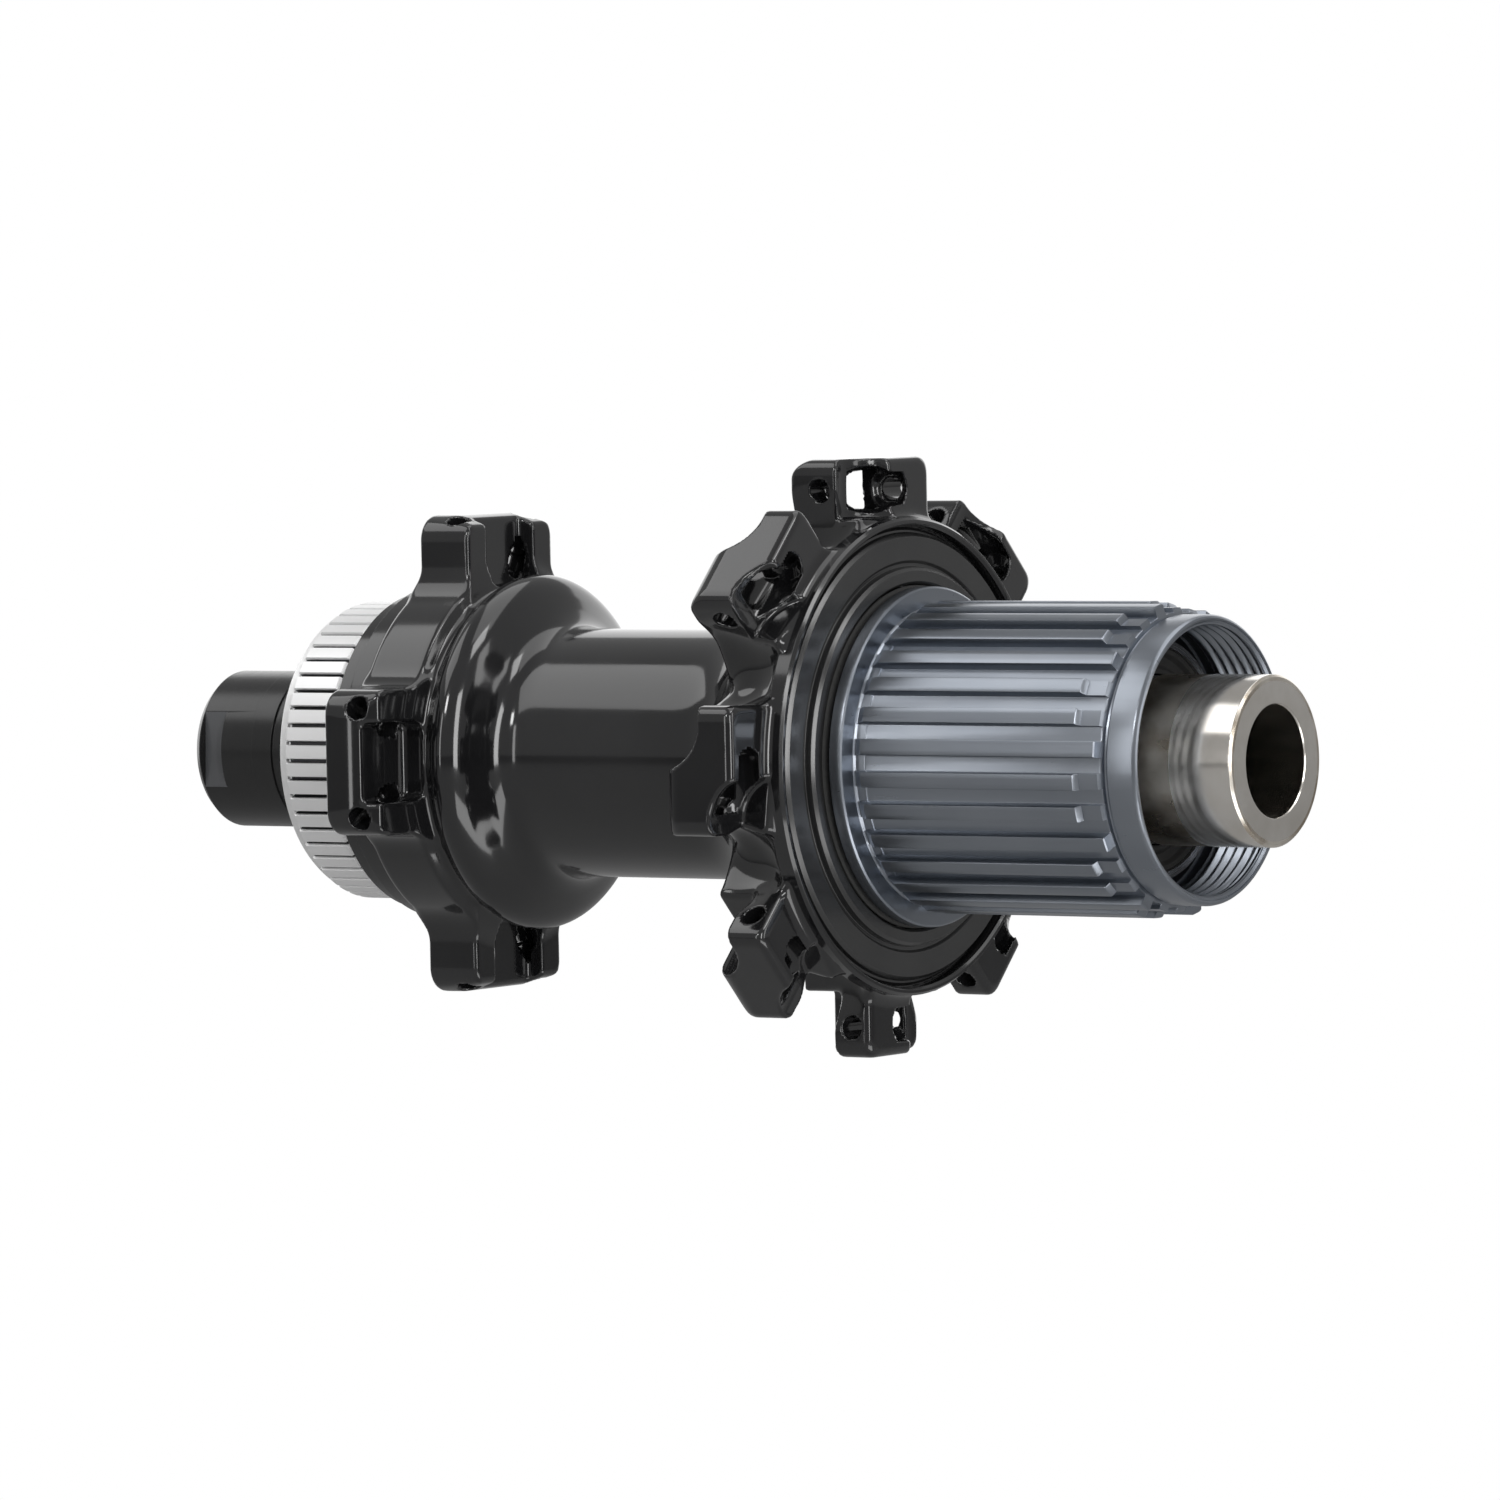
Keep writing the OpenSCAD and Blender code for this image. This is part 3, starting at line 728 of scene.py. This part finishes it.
# ------------------------------------------------------------------ freehub body
def freehub_outside():
    """Thirty ridges; one in three runs full height to the end ring, the rest drop before it."""
    offs = [-6, -3.7, -3.12, -2.98, -2.8, -2.5, -0.9, 0.9, 2.5, 2.8, 2.98, 3.12, 3.7]
    inside = [(15.0, 62.3), (15.0, 62.0), (15.5, 62.0), (15.5, 56.0), (14.95, 56.0)]
    for k in range(5):  # turned grooves down the mouth
        s = 55.3 - 1.6 * k
        inside += [(14.95, s), (15.2, s - 0.1), (15.2, s - 0.6), (14.93, s - 0.7)]
    inside += [
        (14.91, 47.2), (14.91, 46.6), (14.6, 45.4), (14.0, 44.9), (13.9, 44.7),
        (13.9, 41.6), (15.22, 41.45), (15.22, 27.0), (15.6, 26.83), (16.6, 26.3), (17.0, 25.3),
        (17.02, 23.3), (17.2, 23.2),
    ]
    thetas, rows = [], []
    for i in range(RIDGES):
        full = i % 3 == 0
        for o in offs:
            a = abs(o)
            ridge = a <= 3.0
            top = RIDGE_R if a <= 2.55 else 17.47 if a <= 2.85 else 17.36 if ridge else VALLEY_FLOOR_R
            if 3.0 < a <= 3.2:
                top += 0.04
            low = min(top, RIDGE_LOW_R) if ridge else top
            end = top if full else low
            outside = [
                (17.9, 23.2), (18.2, 23.3), (18.3, 23.55), (18.3, 24.55), (18.45, 24.75),
                (18.9, 24.9), (19.08, 25.0), (19.1, 25.15), (19.1, 26.15), (19.05, 26.35),
                (18.85, 26.5), (17.6, 26.55), (16.9, 26.62), (16.72, 26.75),
                (max(16.68, min(top, 16.7)), 26.82), (max(16.6, min(top, 16.72)), 26.88),
                (max(16.45, min(top, 17.46)), 27.85), (max(16.35, top), 27.93), (top, 28.05),
                (top, 55.35), (top, 55.55),
                (end if full else min(top, 17.4) if ridge else top, 55.68), (end, 56.0),
                (end, 58.05), (end, 58.3), (min(end, 17.35) if ridge else end, 58.43),
                (min(end, 16.5), 58.57), (16.25, 58.7), (15.8, 58.78), (15.75, 58.98),
                (15.9, 59.1), (16.05, 59.28), (16.05, 62.3), (16.0, 62.55), (15.85, 62.78),
                (15.65, 62.88), (15.45, 62.85), (15.4, 62.7),
            ]
            thetas.append(math.radians(RIDGE_TURN + 360 / RIDGES * i + o))
            rows.append(outside + inside)
    verts, faces = turned(rows, thetas)
    return make("freehub_shell", verts, faces, FREEHUB, "freehub", sharp=26)


freehub = freehub_outside()
freehub_thread = thread("freehub_thread", 14.97, 0.42, 56.05, 62.45, 1.2, FREEHUB, "freehub",
                        15.52)
for piece in (freehub, freehub_thread):
    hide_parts("freehub_body")

# ------------------------------------------------------------------ turned parts seen from outside
axle = lathe(
    "axle_turned",
    [(6.2, 70.85), (6.32, 71.0, 0.04), (9.22, 71.0, 0.1), (9.5, 70.72, 0.1), (9.5, 63.4, 0.3),
     (9.44, 62.6, 0.3), (9.44, 57.02), (7.5, 57.0), (7.5, -69.0), (6.2, -69.0)],
    AXLE, "axle", 0.1)
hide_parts("axle_tube")

cover = lathe(
    "drive_cover_ring",
    [(19.35, 22.5), (19.35, 24.0, 0.05), (19.65, 24.3, 0.05), (20.85, 24.3, 0.05),
     (21.2, 23.95, 0.05), (21.3, 23.2, 0.1), (21.7, 23.2, 0.1), (22.0, 23.5, 0.05),
     (24.65, 23.5, 0.06), (25.05, 23.1, 0.06), (25.1, 22.55, 0.1), (25.4, 22.5, 0.05),
     (25.7, 22.2, 0.05), (25.8, 22.03), (22.5, 22.03), (21.9, 22.5)],
    COVER, "shell", 0.08, seg=224)
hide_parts("drive_dust_cover")

rear_seal = lathe(
    "freehub_rear_lip",
    [(18.31, 23.7), (18.9, 23.75), (19.22, 23.9), (19.22, 24.15), (18.9, 24.3), (18.31, 24.45)],
    RUBBER, "freehub", 0.05)
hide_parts("freehub_rear_seal")

cup_seal = lathe(
    "right_cup_lip",
    [(13.32, 52), (14.8, 52), (14.8, 52.6), (14.1, 53), (14.1, 53.6), (13.32, 53.6)],
    RUBBER, "shell", 0.1)
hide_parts("right_cup_seal")

cone_seal = lathe(
    "right_cone_lip",
    [(9.4, 55.6), (9.8, 54.9), (9.8, 53.8), (12.5, 53.8), (12.5, 55.6), (11.9, 55.6),
     (11.5, 55.1), (10.5, 55.1), (10, 55.6)],
    RUBBER, "shell", 0.12)
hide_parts("right_cone_seal")

left_seal = lathe(
    "left_seal_lip",
    [(9.55, -46.7), (9.85, -46.2), (9.85, -45.5), (13.4, -45.5), (13.4, -46.7),
     (12.4, -46.7), (12.0, -46.2), (10.6, -46.2), (10.1, -46.7)],
    RUBBER, "shell", 0.12)
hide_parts("left_dust_seal")

spacer = lathe(
    "left_washer",
    [(7.51, -51.5), (8.5, -51.5), (8.7, -51.3), (8.7, -49.7), (8.5, -49.5), (7.51, -49.5)],
    SATIN, "axle", 0.08)
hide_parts("left_spacer")

cap = lathe(
    "end_cap_turned",
    [(7.51, -51.5), (8.8, -51.5, 0.1), (9.1, -51.8, 0.1), (9.1, -58.9, 0.05), (8.87, -59.05, 0.05),
     (8.87, -59.5, 0.05), (9.1, -59.65, 0.05), (9.1, -70.0, 0.35), (8.3, -71.0, 0.35),
     (6.7, -71.0, 0.1), (6.2, -70.5, 0.1), (6.2, -69.0), (7.51, -69.0)],
    CAP, "axle", 0.08)
cut_away(cap, [block((8.0, 66.8, -8), (11, 69.9, 8)), block((-11, 66.8, -8), (-8.0, 69.9, 8))])
for p in cap.data.polygons:
    p.use_smooth = True
cap.data.set_sharp_from_angle(angle=math.radians(30))
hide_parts("left_end_cap")

# ------------------------------------------------------------------ camera
level = math.cos(CAMERA_EL)
back = Vector((math.sin(CAMERA_AZ) * level, -math.cos(CAMERA_AZ) * level, math.sin(CAMERA_EL)))
right = Vector((math.cos(CAMERA_AZ), math.sin(CAMERA_AZ), 0))
up = back.cross(right)
cam_data = bpy.data.cameras.new("camera")
cam_data.lens = 240
cam_data.sensor_width = 36
cam_data.clip_start, cam_data.clip_end = 0.05, 50
cam = bpy.data.objects.new("camera", cam_data)
bpy.context.scene.collection.objects.link(cam)
cam.location = (back * CAMERA_AWAY + right * CAMERA_ASIDE + up * CAMERA_UP) * 0.001
cam.rotation_mode = "QUATERNION"
cam.rotation_quaternion = Matrix((right, up, back)).transposed().to_quaternion()
bpy.context.scene.camera = cam

# ------------------------------------------------------------------ floor, backdrop and light
bpy.context.scene.view_settings.view_transform = "Standard"


def stage_floor():
    """A pale floor: pure white to the camera, a mid grey in reflections."""
    g = Nodes("stage_floor")
    cloud = g.noise(g.coord, 3.0, 2.0)
    g.color(g.mix(cloud, (0.30, 0.30, 0.30), (0.34, 0.34, 0.34)))
    g.set(Roughness=0.9)
    glow = g.n("ShaderNodeEmission")
    glow.inputs[0].default_value = (1, 1, 1, 1)
    mix = g.n("ShaderNodeMixShader")
    g.link(g.n("ShaderNodeLightPath").outputs["Is Camera Ray"], mix.inputs[0])
    g.link(g.b.outputs[0], mix.inputs[1])
    g.link(glow.outputs[0], mix.inputs[2])
    g.link(mix.outputs[0], g.out.inputs[0])
    me = bpy.data.meshes.new("floor")
    corners = [(x * FLOOR_HALF, y * FLOOR_HALF, FLOOR_Z) for x, y in ((-1, -1), (1, -1), (1, 1), (-1, 1))]
    me.from_pydata(corners, [], [(0, 1, 2, 3)])
    me.materials.append(g.mat)
    ob = bpy.data.objects.new("floor", me)
    bpy.context.scene.collection.objects.link(ob)


def studio_world(glow):
    """White to the camera, and a soft grey of strength `glow` to everything else."""
    world = bpy.data.worlds.new("studio")
    bpy.context.scene.world = world
    world.use_nodes = True
    tree = world.node_tree
    tree.nodes.clear()
    out = tree.nodes.new("ShaderNodeOutputWorld")
    mix = tree.nodes.new("ShaderNodeMixShader")
    path = tree.nodes.new("ShaderNodeLightPath")
    tree.links.new(path.outputs["Is Camera Ray"], mix.inputs[0])
    for slot, strength in ((1, glow), (2, 1.0)):
        sky = tree.nodes.new("ShaderNodeBackground")
        sky.inputs[0].default_value = (1, 1, 1, 1)
        sky.inputs[1].default_value = strength
        tree.links.new(sky.outputs[0], mix.inputs[slot])
    tree.links.new(mix.outputs[0], out.inputs[0])


def softbox(name, where, size, power):
    """An area light in metres and watts, turned to the middle of the hub."""
    data = bpy.data.lights.new(name, "AREA")
    data.shape = "RECTANGLE"
    data.size, data.size_y = size
    data.energy = power
    ob = bpy.data.objects.new(name, data)
    bpy.context.scene.collection.objects.link(ob)
    ob.location = where
    ob.rotation_mode = "QUATERNION"
    ob.rotation_quaternion = (-Vector(where)).to_track_quat("-Z", "Y")


def from_camera(side, height, depth):
    """A place beside, above and in front of the hub as the camera sees it, in metres."""
    return tuple(right * side + Vector((0, 0, 1)) * height + Vector((back.x, back.y, 0)) * depth)


stage_floor()
studio_world(0.36)
softbox("key", from_camera(-0.80, 0.88, 0.05), (0.95, 0.6), 2.7)
softbox("top", from_camera(0.25, 1.05, -0.10), (1.2, 0.7), 3.0)
softbox("left_strip", from_camera(-1.00, 0.10, 0.75), (0.16, 0.8), 1.3)
softbox("right_strip", from_camera(1.00, 0.35, 0.55), (0.25, 0.9), 1.6)
softbox("behind", from_camera(0.0, 0.35, -1.7), (3.4, 1.5), 17)
softbox("low", from_camera(0.12, -0.15, 0.16), (0.26, 0.12), 0.25)
softbox("window", from_camera(0.42, 0.78, 0.42), (0.34, 0.22), 1.1)
softbox("front", from_camera(0.46, 0.05, 1.17), (0.30, 1.3), 7.5)
softbox("window_left", from_camera(-0.62, 0.55, 0.80), (0.20, 0.20), 1.6)
